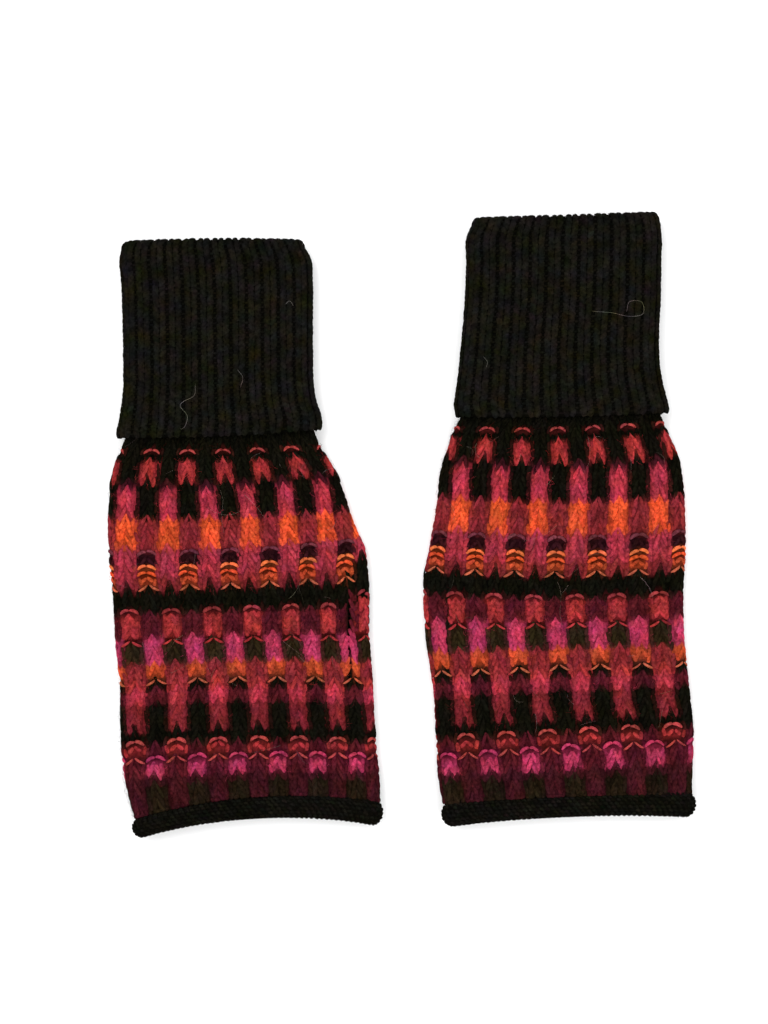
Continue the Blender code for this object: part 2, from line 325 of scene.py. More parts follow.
def flat_ring(section, count, depth=0.0):
    """Evenly spaced points of a flattened ring, moved in by a depth on every side.

    Straight underside, half ellipses at the sides, and a top that a parabola raises in its middle. It starts
    at the middle of the underside and goes round by the right side.
    """
    left, right, y_left, y_mid, y_right, bottom, top, crown = section
    half_width = (right - left) / 2 - depth
    half_height = (top - bottom) / 2 - depth
    side = min(SIDE_REACH * half_height, half_width)
    turn = np.linspace(-np.pi / 2, np.pi / 2, SIDE_POINTS)
    side_x = half_width - side + side * np.cos(turn)
    side_z = half_height * np.sin(turn)
    x = np.concatenate(([0.0], side_x, [0.0], -side_x[::-1], [0.0]))
    z = np.concatenate(([-half_height], side_z, [half_height], side_z[::-1], [-half_height]))
    length = np.concatenate(([0.0], np.cumsum(np.hypot(np.diff(x), np.diff(z)))))
    place = np.arange(count) / count * length[-1]
    ring_x = np.interp(place, length, x)
    ring_z = np.interp(place, length, z)
    across = ring_x / half_width
    upper = np.clip(ring_z / half_height * 0.5 + 0.5, 0.0, 1.0)
    return np.stack(
        (
            (left + right) / 2 + ring_x,
            bend(y_left, y_mid, y_right, across),
            (bottom + top) / 2 + ring_z + crown * upper * (1 - across**2),
        ),
        axis=1,
    )


def resampled(table, places, at):
    """The table's rows read at other places: a cubic through the rows, level with the rows on either side."""
    table = np.asarray(table, float)
    slopes = np.gradient(table, places, axis=0)
    k = np.clip(np.searchsorted(places, at, side="right") - 1, 0, len(places) - 2)
    gap = (places[k + 1] - places[k])[:, None]
    t = (at - places[k])[:, None] / gap
    return (
        (2 * t**3 - 3 * t**2 + 1) * table[k]
        + (t**3 - 2 * t**2 + t) * gap * slopes[k]
        + (3 * t**2 - 2 * t**3) * table[k + 1]
        + (t**3 - t**2) * gap * slopes[k + 1]
    )


# A surface as a grid: its points and outward directions, rings by points round, the distance down of each
# ring, and how long each ring is.
Surface = namedtuple("Surface", "points up down length")


def as_surface(rings, down):
    """Grid surface from its rings. The outward direction is the cross product of the two grid directions."""
    points = np.stack(rings)
    round_it = np.roll(points, -1, axis=1) - np.roll(points, 1, axis=1)
    up = np.cross(round_it, np.gradient(points, axis=0))
    up /= np.linalg.norm(up, axis=-1, keepdims=True)
    length = np.linalg.norm(np.roll(points, -1, axis=1) - points, axis=-1).sum(axis=1)
    return Surface(points, up, np.asarray(down), length)


def on_surface(surface, turn, down, height):
    """Points at a turn and a distance down, raised by a height, and the outward directions there.

    The grid is read between its points: each value is the mean of the four nearest, by nearness.
    """
    rings, count = surface.points.shape[:2]
    row = np.interp(down, surface.down, np.arange(rings))
    above = np.minimum(row.astype(int), rings - 2)
    column = (turn % 1.0) * count
    before = column.astype(int) % count
    after = (before + 1) % count
    row_share = (row - above)[..., None]
    column_share = (column - np.floor(column))[..., None]

    def read(grid):
        upper = grid[above, before] * (1 - column_share) + grid[above, after] * column_share
        lower = grid[above + 1, before] * (1 - column_share) + grid[above + 1, after] * column_share
        return upper * (1 - row_share) + lower * row_share

    up = read(surface.up)
    up /= np.linalg.norm(up, axis=-1, keepdims=True)
    return read(surface.points) + height[..., None] * up, up


def hand_surface(hand, step=0.5, count=512):
    """The hand tube's surface, through the tops of its stitches."""
    places = -np.array([section.y_mid for section in hand.sections])
    down = np.arange(places[0], places[-1], step)
    rows = resampled(hand.sections, places, down)
    return as_surface([flat_ring(row, count) for row in rows], down)


def stitch_turn(hand, stitch, row):
    """Turn at which a stitch of a row lies, counted from the left side over the top.

    The stitches that show share the upper half of the ring. A parabola lets them lie closer on one side. The
    others share the lower half evenly.
    """
    rows, *values = np.transpose(hand.fan)
    top_stitches, shift, crowding = (np.interp(row, rows, value) for value in values)
    count = (np.asarray(stitch, float) + shift) % STITCHES
    share = count / top_stitches
    upper = share + crowding * share * (1 - share)
    lower = 1 + (count - top_stitches) / (STITCHES - top_stitches)
    return 0.75 - np.where(share < 1, upper, lower) / 2


def chart():
    """The pattern row by row: the linear colours of columns A and B, and how each is knitted."""
    colours = []
    purls = []
    for line in PATTERN.strip().split("\n"):
        rows, yarn_a, yarn_b, purl = line.split()
        colours += [(linear(YARNS[yarn_a]), linear(YARNS[yarn_b]))] * int(rows)
        purls += [[ARCHED * (name in purl) + HANGING * (name.lower() in purl) for name in "AB"]] * int(rows)
    return np.array(colours), np.array(purls)


CHART_COLOURS, CHART_PURLS = chart()
ROWS = np.arange(FIRST_ROW, FIRST_ROW + len(CHART_COLOURS))


def column_kind(hand, stitch):
    """0 where a stitch belongs to a column A of the pattern, 1 where it belongs to a column B."""
    return ((np.asarray(stitch, int) - hand.first_a) % 4) // 2


def yarn_row(hand, stitch, index):
    """Row of the chart that a stitch has its yarn from.

    It is the stitch's own, but to the right of the left mitten's slit the black band starts sooner.
    """
    row = ROWS[index]
    early = hand.slit_upper & (stitch > SLIT_STITCH) & (row >= EARLY_BLACK_ROW) & (row < BLACK_ROW)
    return np.where(early, BLACK_ROW - FIRST_ROW, index)


def add_dye(mesh, dye):
    """Give each point of a mesh its own linear colour."""
    layer = mesh.color_attributes.new("dye", "FLOAT_COLOR", "POINT")
    layer.data.foreach_set("color", np.column_stack((dye, np.ones(len(dye)))).astype(np.float32).ravel())


def mesh_object(name, points, quads, material, dye=None, maps=None):
    """Mesh of quads from whole arrays, in metres at the origin, shaded smooth and kept off the floor.

    dye is a linear colour for each point. maps holds a UV pair for each point, under the map's name.
    """
    points[:, 2] = np.maximum(points[:, 2], FLOOR_GAP)
    mesh = bpy.data.meshes.new(name)
    mesh.vertices.add(len(points))
    mesh.vertices.foreach_set("co", (points * MM).astype(np.float32).ravel())
    mesh.loops.add(quads.size)
    mesh.loops.foreach_set("vertex_index", quads.astype(np.int32).ravel())
    mesh.polygons.add(len(quads))
    mesh.polygons.foreach_set("loop_start", np.arange(0, quads.size, 4, dtype=np.int32))
    mesh.polygons.foreach_set("use_smooth", np.ones(len(quads), bool))
    mesh.update(calc_edges=True)
    for map_name, pairs in (maps or {}).items():
        layer = mesh.uv_layers.new(name=map_name)
        layer.data.foreach_set("uv", pairs[quads.ravel()].astype(np.float32).ravel())
    if dye is not None:
        add_dye(mesh, dye)
    mesh.materials.append(material)
    mesh.validate()
    made = bpy.data.objects.new(name, mesh)
    scene.collection.objects.link(made)
    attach(made, "root")
    return made


def closed_wall(rings):
    """Points and quads of a wall: each ring is joined to the next, and the last to the first."""
    corner = np.arange(len(rings) * len(rings[0])).reshape(len(rings), len(rings[0]))
    after = np.roll(corner, -1, axis=0)
    quads = np.stack((corner, np.roll(corner, -1, axis=1), np.roll(after, -1, axis=1), after), axis=-1)
    return np.concatenate(rings), quads.reshape(-1, 4)


def wool_material(name, dye=None, sheen=0.12, cast=0.08, ply=True):
    """Woollen yarn: a dyed colour with flecks of fibre, a soft sheen of fuzz and the twist of its plies.

    dye is a linear colour, or None where each point of the mesh has its own. cast is how far the colour
    wanders to warmer and cooler casts, patch by patch.
    """
    material, tree, shader = new_material(name)
    place = (node(tree, "ShaderNodeTexCoord"), "Object")
    fine = {"Vector": place, "Scale": 950.0, "Detail": 3.0, "Roughness": 0.65}
    coarse = {"Vector": place, "Scale": 170.0, "Detail": 1.0}
    flecks = node(tree, "ShaderNodeTexNoise", fine)
    clouds = node(tree, "ShaderNodeTexNoise", coarse)
    spread = {"From Min": 0.3, "From Max": 0.7}
    light = {"Value": (flecks, "Fac"), "To Min": 0.5, "To Max": 1.5, **spread}
    patch = {"Value": (clouds, "Fac"), "To Min": 0.86, "To Max": 1.14, **spread}
    shades = [(node(tree, "ShaderNodeMapRange", inputs), "Result") for inputs in (light, patch)]
    both = node(tree, "ShaderNodeMath", dict(enumerate(shades)), operation="MULTIPLY")
    if dye is None:
        plain = tint = (node(tree, "ShaderNodeAttribute", attribute_name="dye"), "Color")
    else:
        plain = tuple(dye)
        tint = (*dye, 1.0)
    shaded = node(tree, "ShaderNodeVectorMath", {0: plain, "Scale": (both, "Value")}, operation="SCALE")
    span = (4 * cast, 3 * cast, 10 * cast)
    least = (1 - 2 * cast, 1 - 1.5 * cast, 1 - 5 * cast)
    wander = {0: (clouds, "Color"), 1: span, 2: least}
    casts = node(tree, "ShaderNodeVectorMath", wander, operation="MULTIPLY_ADD")
    factors = {0: (shaded, "Vector"), 1: (casts, "Vector")}
    stained = node(tree, "ShaderNodeVectorMath", factors, operation="MULTIPLY")
    relief = node(tree, "ShaderNodeBump", {"Height": (flecks, "Fac"), "Strength": 0.35, "Distance": 0.0002})
    if ply:
        yarn = node(tree, "ShaderNodeUVMap", uv_map="yarn")
        turned = node(tree, "ShaderNodeMapping", {"Vector": (yarn, "UV"), "Rotation": (0.0, 0.0, 0.5)})
        waves = {"Vector": (turned, "Vector"), "Scale": 0.36, "Distortion": 1.2, "Detail": 1.0}
        twist = node(tree, "ShaderNodeTexWave", waves)
        plies = {"Height": (twist, "Fac"), "Normal": (relief, "Normal"), "Strength": 0.5, "Distance": 0.00025}
        relief = node(tree, "ShaderNodeBump", plies)
    soft = {"Roughness": 1.0, "Specular IOR Level": 0.0, "Sheen Weight": sheen, "Sheen Roughness": 0.45}
    feed(tree, shader, soft)
    feed(tree, shader, {"Sheen Tint": tint, "Base Color": (stained, "Vector"), "Normal": (relief, "Normal")})
    return material


GROUND_WOOL = wool_material("stranded_wool_ground", ply=False)


def nearest_colour_painted_shade(hand, turn, down, strength):
    """Colour of the stitch at each place, times a strength, and darker behind and just below bumps: painted
    shade.
    """
    row = np.interp(down, hand.anchors, ANCHOR_ROWS)
    middles = stitch_turn(hand, np.arange(STITCHES) + 0.5, row[..., None])
    stitch = np.abs((turn[..., None] - middles + 0.5) % 1.0 - 0.5).argmin(axis=-1)
    kind = column_kind(hand, stitch)
    index = np.clip(np.rint(row).astype(int) - FIRST_ROW, 0, len(ROWS) - 1)
    below_bump = CHART_PURLS[np.maximum(index - 1, 0), kind] == ARCHED
    share = np.where(below_bump, SHADE_BELOW_BUMPS, strength)
    share = np.where(CHART_PURLS[index, kind] != KNIT, SHADE_BEHIND_BUMPS, share)
    return CHART_COLOURS[yarn_row(hand, stitch, index), kind] * share[..., None]


def cut_slit(wall, x, upper):
    """Cut the thumb slit through one panel of a wall, as a lens with pointed ends, and paint black shadow on
    the cut and the ground around it.
    """
    along = np.linspace(-1.0, 1.0, SLIT_POINTS)
    y = -(SLIT_TOP + SLIT_END) / 2 + (SLIT_END - SLIT_TOP) / 2 * along
    width = SLIT_HALF * (1 - along**2)
    outline = np.concatenate((np.stack((x + width, y), 1), np.stack((x - width, y), 1)[-2:0:-1]))
    low = BETWEEN_PANELS - (0.0 if upper else CUTTER_HEIGHT)
    count = len(outline)
    points = [(px * MM, py * MM, z * MM) for z in (low, low + CUTTER_HEIGHT) for px, py in outline]
    faces = [tuple(range(count))[::-1], tuple(range(count, 2 * count))]
    faces += [(i, (i + 1) % count, (i + 1) % count + count, i + count) for i in range(count)]
    mesh = bpy.data.meshes.new("slit_cutter")
    mesh.from_pydata(points, [], faces)
    # Painted shadow: the faces of the cut take black.
    add_dye(mesh, np.tile(linear(YARNS["black"]), (len(points), 1)))
    cutter = bpy.data.objects.new("slit_cutter", mesh)
    scene.collection.objects.link(cutter)
    cut = wall.modifiers.new("thumb_slit", "BOOLEAN")
    cut.operation = "DIFFERENCE"
    cut.solver = "EXACT"
    cut.object = cutter
    evaluated = wall.evaluated_get(bpy.context.evaluated_depsgraph_get())
    whole = wall.data
    wall.data = bpy.data.meshes.new_from_object(evaluated)
    wall.modifiers.clear()
    bpy.data.meshes.remove(whole)
    bpy.data.objects.remove(cutter)
    bpy.data.meshes.remove(mesh)
    count = len(wall.data.vertices)
    place = np.empty(3 * count, np.float32)
    colour = np.empty(4 * count, np.float32)
    dyes = wall.data.color_attributes["dye"].data
    wall.data.vertices.foreach_get("co", place)
    dyes.foreach_get("color", colour)
    x_place, y_place, _ = place.reshape(-1, 3).T / MM
    # Painted shadow: the ground along the slit, in both panels, is made black.
    in_length = (y_place < SLIT_SHADOW_PAST - SLIT_TOP) & (y_place > -SLIT_END - SLIT_SHADOW_PAST)
    colour = colour.reshape(-1, 4)
    colour[in_length & (np.abs(x_place - x) < SLIT_SHADOW_BESIDE), :3] = linear(YARNS["black"])
    dyes.foreach_set("color", colour.ravel())


def add_ground(hand):
    """The wall behind the stitches of one hand tube, from inside the cuff to the rolled edge."""
    count = 3 * STITCHES
    places = -np.array([section.y_mid for section in hand.sections])
    down = np.linspace(places[0], places[-1], round((places[-1] - places[0]) / ROW_HEIGHT) + 1)
    rows = resampled(hand.sections, places, down)
    outer = [flat_ring(row, count, GROUND_TOP) for row in rows]
    inner = [flat_ring(row, count, GROUND_UNDER) for row in rows[::-1]]
    turn = np.tile(np.arange(count) / count, (len(down), 1))
    # Painted shade: the ground takes a darkened share of each stitch's colour, darker still behind and just
    # below purl bumps.
    dye = nearest_colour_painted_shade(hand, turn, np.tile(down[:, None], (1, count)), GROUND_PAINTED_SHADE)
    points, quads = closed_wall(outer + inner)
    colours = np.concatenate((dye, dye[::-1])).reshape(-1, 3)
    wall = mesh_object(hand.side + "_hand_ground", points, quads, GROUND_WOOL, colours)
    cut_slit(wall, hand.slit_x, hand.slit_upper)
    return wall


grounds = {hand.side: add_ground(hand) for hand in HANDS}

# Hand tubes: the stitches
# Each knit stitch shows as a V of two plump legs of yarn, and each purl stitch as a bump that lies across.
# The pattern is two colours a row in columns two stitches wide, with some rows purled in one colour.
UNDER_TURN = 0.22  # stitches this near the middle of the underside have fewer points
UPPER_GRIDS = ((7, 5), (7, 5))  # points along and across a leg, and along and across a bump
LOWER_GRIDS = ((4, 4), (5, 4))
STRAND_ARC = 1.75  # how far round a strand's cross-section goes, each way from its top
TWIST_STARTS = 50.0  # the twist of a strand's plies starts anywhere in this length
TWIST_SIDE = 1.2  # half a strand's width in the map of its twist
BAKE_MARGIN = 0.08  # of a strand's square in the shared sheet

# Legs, with places across in stitch widths and places up and down in rows
LEG_HALF = 0.20
LEG_RISE = 0.42  # how far a leg stands up from its own middle
LEG_LEVEL = -0.38  # where its middle lies, from the surface
LEG_DIP = 0.45  # how much lower its ends lie
LEG_FOOT = 0.06  # how far its foot stands from its stitch's middle
LEG_LEAN = 0.40  # how much further out its top is
UPRIGHT = 0.12  # how much less the outer legs of a pair lean
PARTED = 0.10  # how far a pair's stitches stand from each other at their feet
LEG_DOWN = 0.65  # how far a leg reaches below its row
LEG_OVER_BUMP = 0.22  # how far it reaches down to a bump that hangs
OUTER_OVER_BUMP = 0.35  # how much further outer ones do
LEG_UP = 1.2  # how far it reaches above its row
LEG_UNDER_BUMP = 0.4  # how far it reaches up to a bump
LEG_INTO_COLOUR = 1.8  # how far black ones reach up between the feet of a coloured block
NOTCH_DRAWN_IN = 0.14  # how much nearer to each other these lie
NOTCH_RAISED = 0.3
NOTCH_BLACK = 0.02  # the most that the three parts of black yarn's colour add up to
NOTCH_COLOUR = 0.1  # the least in a coloured block
DRAWN_IN = 0.06  # how far a bright column is drawn in beside a dark one, three times that in outer legs
TOP_DRAWN_IN = 0.28  # how much further the outer legs of its first row lean in
BLEND = 0.3  # how much a leg's ends take on of the colours above and below
HAZE = 0.05  # how much a leg takes on of the colour beside it, through the fuzz

# A purl bump: how high it arches, how far it sags to its outer side and stands out, and half its width.
Bump = namedtuple("Bump", "arch sag outwards half")
ARCHED_BUMP = Bump(0.22, 0.26, -0.05, 0.165)
HANGING_BUMP = Bump(-0.08, 0.38, 0.04, 0.1155)
BUMP_RISE = 0.5
BUMP_REACH = 0.42
BUMP_DRAWN_IN = 0.6  # at the tube's sides, so that it keeps within the outline

SHIFTED_ROWS = (19, 21.5, 23, 27)  # right of the thumb slit the rows lie higher, most between the middle two
SLIT_RISE = 4.4
SLIT_PULL = 0.6

RANDOM = np.random.default_rng(20)


def wobble(count, spread, middle=0.0):
    """A random number for each strand, normally spread about a middle."""
    return RANDOM.normal(middle, spread, (count, 1))


def varied(colours, spread):
    """Colours made a little lighter or darker and warmer or cooler, strand by strand."""
    count = len(colours)
    light = RANDOM.normal(1.0, spread, (count, 1, 1))
    cast = RANDOM.normal(1.0, spread / 3, (count, 1, 3))
    return np.clip(colours * light * cast, 0.0, 1.0)


def every_pair(first, second):
    """All the pairs of a number of one range and a number of another, as two flat arrays."""
    return [numbers.ravel() for numbers in np.meshgrid(first, second, indexing="ij")]


def strands(centre, up, wide, tall, sides):
    """Points of yarn strands that lie on a surface, strands by steps by sides.

    centre and up are strands by steps by 3. A cross-section is an arc of an ellipse from one flank over the
    top to the other: wide times the sine of an angle to the side, and tall times its cosine upwards.
    """
    forward = np.gradient(centre, axis=1)
    side = np.cross(forward, up)
    side /= np.linalg.norm(side, axis=-1, keepdims=True)
    over = np.cross(side, forward)
    over /= np.linalg.norm(over, axis=-1, keepdims=True)
    angle = np.linspace(-STRAND_ARC, STRAND_ARC, sides)
    across = wide[..., None, None] * np.sin(angle)[:, None] * side[:, :, None]
    upwards = tall[..., None, None] * np.cos(angle)[:, None] * over[:, :, None]
    return centre[:, :, None] + across + upwards


def strand_parts(points, dye):
    """Points, quads, colours and a map for strands of points, strands by steps by sides by 3.

    The map holds millimetres across and along a strand, for the twist of its plies.
    """
    count, steps, sides = points.shape[:3]
    corner = np.arange(count * steps * sides).reshape(count, steps, sides)
    before, after = corner[:, :-1], corner[:, 1:]
    quads = np.stack((before[..., :-1], before[..., 1:], after[..., 1:], after[..., :-1]), axis=-1)
    middle = points[:, :, sides // 2]
    step_length = np.linalg.norm(np.diff(middle, axis=1), axis=-1)
    along = np.concatenate((np.zeros((count, 1)), np.cumsum(step_length, axis=1)), axis=1)
    along += RANDOM.uniform(0, TWIST_STARTS, (count, 1))
    across = np.linspace(-TWIST_SIDE, TWIST_SIDE, sides)
    yarn = np.stack(np.broadcast_arrays(across[None, None, :], along[..., None]), axis=-1)
    return points, quads.reshape(-1, 4), np.broadcast_to(dye[:, :, None], points.shape), yarn


def yarn_parts(centre, up, wide, tall, sides, dye, spread):
    """The same for strands of yarn on a surface, in a dye that varies by a spread from strand to strand."""
    dye = varied(np.broadcast_to(dye, centre.shape), spread)
    return strand_parts(strands(centre, up, wide, tall, sides), dye)


def joined(name, parts, material):
    """One mesh from several groups of strands, with the maps yarn and OFBake.

    OFBake gives each strand its own square of a shared sheet, with a narrow margin.
    """
    total = sum(part[0].shape[0] for part in parts)
    cells = int(np.ceil(np.sqrt(total)))
    points, quads, dyes, yarns, bakes = [], [], [], [], []
    first_point, first_strand = 0, 0
    for strand_points, strand_quads, dye, yarn in parts:
        count, steps, sides = strand_points.shape[:3]
        index = first_strand + np.arange(count)[:, None, None]
        u = np.linspace(BAKE_MARGIN, 1 - BAKE_MARGIN, sides)[None, None, :]
        v = np.linspace(BAKE_MARGIN, 1 - BAKE_MARGIN, steps)[None, :, None]
        bake = np.broadcast_arrays((index % cells + u) / cells, (index // cells + v) / cells)
        points.append(strand_points.reshape(-1, 3))
        quads.append(strand_quads + first_point)
        dyes.append(dye.reshape(-1, 3))
        yarns.append(yarn.reshape(-1, 2))
        bakes.append(np.stack(bake, axis=-1).reshape(-1, 2))
        first_point += count * steps * sides
        first_strand += count
    maps = {"OFBake": np.concatenate(bakes), "yarn": np.concatenate(yarns)}
    whole = [np.concatenate(group) for group in (points, quads, dyes)]
    return mesh_object(name, whole[0], whole[1], material, whole[2], maps)


def slit_moves(hand, stitch, down):
    """How far the stitches by the thumb slit are moved: round the tube in millimetres, and up it.

    They part by a parabola along the slit, over three stitches on each side. To the right of the left
    mitten's slit the rows ride up, over five stitches, by a smooth step up and a smooth step down.
    """
    along = np.clip((2 * down - SLIT_TOP - SLIT_END) / (SLIT_END - SLIT_TOP), -1.0, 1.0)
    from_slit = stitch - (SLIT_STITCH if hand.slit_upper else STITCHES - SLIT_STITCH)
    pull = SLIT_PULL * np.clip(1.25 - 0.5 * np.abs(from_slit), 0.0, 1.0) * np.sign(from_slit) * (1 - along**2)
    if not hand.slit_upper:
        return pull, np.zeros_like(down)
    start, full, last, end = np.interp(SHIFTED_ROWS, ANCHOR_ROWS, hand.anchors)
    rise = np.clip((down - start) / (full - start), 0.0, 1.0) * np.clip((end - down) / (end - last), 0.0, 1.0)
    beside = np.clip((from_slit > 0) * (1.25 - 0.25 * from_slit), 0.0, 1.0)
    return pull, SLIT_RISE * rise**2 * (3 - 2 * rise) * beside


def placed(hand, surface, stitch, row, across, upward, height):
    """Centre lines of strands of the hand, with their outward directions and the widths of the stitches.

    stitch and row give each strand's stitch. across is in stitch widths from the stitch's middle, upward in
    rows towards the wrist, both strands by steps.
    """
    down = np.interp(row, ANCHOR_ROWS, hand.anchors)
    before, after = (np.interp(row + step, ANCHOR_ROWS, hand.anchors) for step in (-1, 1))
    row_size = (after - before) / 2
    pull, lift = slit_moves(hand, stitch + 0.5, down)
    ring_length = np.interp(down, surface.down, surface.length)
    down = (down - lift)[:, None] - upward * row_size[:, None]
    turn = stitch_turn(hand, stitch[:, None] + 0.5 + across, row[:, None]) - (pull / ring_length)[:, None]
    centre, up = on_surface(surface, turn, down, height)
    return centre, up, (ring_length / STITCHES)[:, None]


def stitch_grid(hand, lower):
    """Stitch and row numbers of the stitches that lie on the upper or the lower side of a hand tube."""
    stitch, row = every_pair(np.arange(STITCHES), np.arange(len(ROWS)))
    turn = stitch_turn(hand, stitch + 0.5, ROWS[row]) % 1.0
    chosen = ((turn < UNDER_TURN) | (turn > 1 - UNDER_TURN)) == lower
    return stitch[chosen], row[chosen]


def knit_legs(hand, surface, stitch, row, steps, sides):
    """The two legs of each knit stitch: straight grains of yarn that lean out as they rise.

    A leg stands highest just above its foot and dips under the next row at its top, by a power of a sine.
    The stitches of a pair stand with their feet apart. Their outer legs end sooner, lie lower and are
    darkened with painted shade, so each block of colour comes to a point at its top and parts from the next
    by a soft dark line.
    """
    stitch = np.repeat(stitch, 2)
    index = np.repeat(row, 2)
    count = len(stitch)
    leg_way = np.tile((-1.0, 1.0), count // 2)[:, None]
    pair_way = 2.0 * ((stitch - hand.first_a) % 2)[:, None] - 1
    outer = np.clip(leg_way * pair_way, 0.0, 1.0)
    t = np.linspace(0.0, 1.0, steps)[None, :]

    kind = column_kind(hand, stitch)
    rows = (index, np.maximum(index - 1, 0), np.minimum(index + 1, len(ROWS) - 1))
    own, above, below = (CHART_COLOURS[yarn_row(hand, stitch, place), kind] for place in rows)
    knit_above, knit_below = (CHART_PURLS[place, kind][:, None] == KNIT for place in rows[1:])
    bump_above = CHART_PURLS[rows[1], kind][:, None] == ARCHED
    bump_below = CHART_PURLS[rows[2], kind][:, None] == HANGING
    beside = CHART_COLOURS[index, 1 - kind]
    light, light_above, light_beside = (colour.sum(axis=1)[:, None] for colour in (own, above, beside))
    near = np.clip(index[:, None] + np.arange(-1, 2), 0, len(ROWS) - 1)
    by_bumps = (kind == 0) & (CHART_PURLS[near, 1] != KNIT).any(axis=1)
    brighter = np.where(by_bumps[:, None], -1.0, (light - light_beside) / (light + light_beside))
    starts = light > 3 * light_above
    notch = knit_above * (light < NOTCH_BLACK) * (light_above > NOTCH_COLOUR) * (1 - outer)

    across = leg_way * (LEG_FOOT + (LEG_LEAN - UPRIGHT * outer) * t) + PARTED * pair_way * (1 - t)
    across += wobble(count, 0.04) + wobble(count, 0.05) * t
    across -= pair_way * (brighter * DRAWN_IN * (1 + 2 * outer) + notch * NOTCH_DRAWN_IN)
    across -= pair_way * outer * starts * (0.05 + TOP_DRAWN_IN * t)
    reach = np.where(bump_above, LEG_UNDER_BUMP, LEG_UP * (1 - 0.5 * outer))
    reach = np.where(notch > 0, LEG_INTO_COLOUR, reach)
    foot = np.where(bump_below, LEG_OVER_BUMP + OUTER_OVER_BUMP * outer, LEG_DOWN)
    upward = -foot + (foot + reach) * t + wobble(count, 0.12)
    arch = np.sin(np.pi * (0.08 + 0.90 * t**0.8)) ** 0.6
    height = LEG_LEVEL - LEG_DIP * (1 - arch) - 0.1 * outer + NOTCH_RAISED * notch + wobble(count, 0.05)
    size = wobble(count, 0.07, 1.0) * (0.7 + 0.3 * arch)
    centre, up, width = placed(hand, surface, stitch, ROWS[index], across, upward, height)

    blend_up = (BLEND * knit_above * np.clip(2 * t - 1, 0, 1) ** 1.5)[..., None]
    blend_down = (BLEND * knit_below * np.clip(1 - 2 * t, 0, 1) ** 1.5)[..., None]
    dye = own[:, None] * (1 - blend_up - blend_down) + above[:, None] * blend_up + below[:, None] * blend_down
    # Painted shade: outer legs are darkened, most at their tops, for the dark line between blocks.
    dye = dye * (1 - outer * (0.05 + 0.3 * t))[..., None] + HAZE * outer[..., None] * beside[:, None]
    return yarn_parts(centre, up, LEG_HALF * size * width, LEG_RISE * size, sides, dye, 0.15)


def purl_bumps(hand, surface, stitch, row, steps, sides):
    """Each purl stitch: an arch of yarn that lies across, by a parabola.

    It sags towards the outer side of its two-stitch column. Bumps that end a block hang lower and sag more.
    """
    count = len(stitch)
    t = np.linspace(-1.0, 1.0, steps)[None, :]
    kind = column_kind(hand, stitch)
    hanging = (CHART_PURLS[row, kind] == HANGING)[:, None]
    arch, sag, outwards, half = (np.where(hanging, *values) for values in zip(HANGING_BUMP, ARCHED_BUMP))
    outer_way = 2.0 * ((stitch - hand.first_a) % 2)[:, None] - 1
    across = BUMP_REACH * t + outwards * outer_way + wobble(count, 0.02)
    upward = 0.16 + arch * (1 - t**2) - sag * (1 + outer_way * t) + wobble(count, 0.05)
    height = LEG_LEVEL + 0.45 * (1 - t**4) - 0.1
    size = wobble(count, 0.08, 1.0) * (1 - 0.5 * t**4)
    centre, up, width = placed(hand, surface, stitch, ROWS[row], across, upward, height)
    centre -= BUMP_DRAWN_IN * (1 - np.abs(up[..., 2:])) * up
    # Some bumps' colours are paler copies of their yarn, with painted highlight.
    dye = CHART_COLOURS[row, kind][:, None]
    return yarn_parts(centre, up, half * size * width, BUMP_RISE * size, sides, dye, 0.12)


STITCH_WOOL = wool_material("stranded_wool")


def add_stitches(hand, lower):
    """All the stitches of one side of a hand tube, in one mesh."""
    surface = hand_surface(hand)
    stitch, row = stitch_grid(hand, lower)
    purled = CHART_PURLS[row, column_kind(hand, stitch)] != KNIT
    leg_grid, bump_grid = LOWER_GRIDS if lower else UPPER_GRIDS
    parts = [
        knit_legs(hand, surface, stitch[~purled], row[~purled], *leg_grid),
        purl_bumps(hand, surface, stitch[purled], row[purled], *bump_grid),
    ]
    return joined(hand.side + ("_hand_underside" if lower else "_hand_stitches"), parts, STITCH_WOOL)


stitches = {hand.side: [add_stitches(hand, lower) for lower in (False, True)] for hand in HANDS}

# Fuzz
# The wool is softly hairy, so short fibres stand off the stitches and blur one colour into the next, and a
# few long pale hairs cross them.
FIBRE_STITCHES = (0.3, 24.0)  # the stitches and the first row that the fibres grow on
FIBRE_FIRST_ROW = -2.0

# A kind of fibre: how many, points along each, length, half width, the last row they grow on, and their
# colour, or None where each has that of the stitch at its root, darkened by painted shade behind and just
# below purl bumps.
Fibre = namedtuple("Fibre", "count steps length half_width last_row colour")
SHORT_FIBRE = Fibre(11000, 3, 1.8, 0.027, 50, None)
LONG_HAIR = Fibre(34, 12, 7.0, 0.024, 45, (120, 104, 96))


def ribbons(centre, half_width):
    """Flat ribbons, strands by steps by 2 by 3, that lie level along their centre lines."""
    forward = np.gradient(centre, axis=1)
    side = np.cross(forward, (0.0, 0.0, 1.0))
    side /= np.maximum(np.linalg.norm(side, axis=-1, keepdims=True), 1e-6)
    width = half_width[..., None]
    return np.stack((centre - side * width, centre + side * width), axis=2)


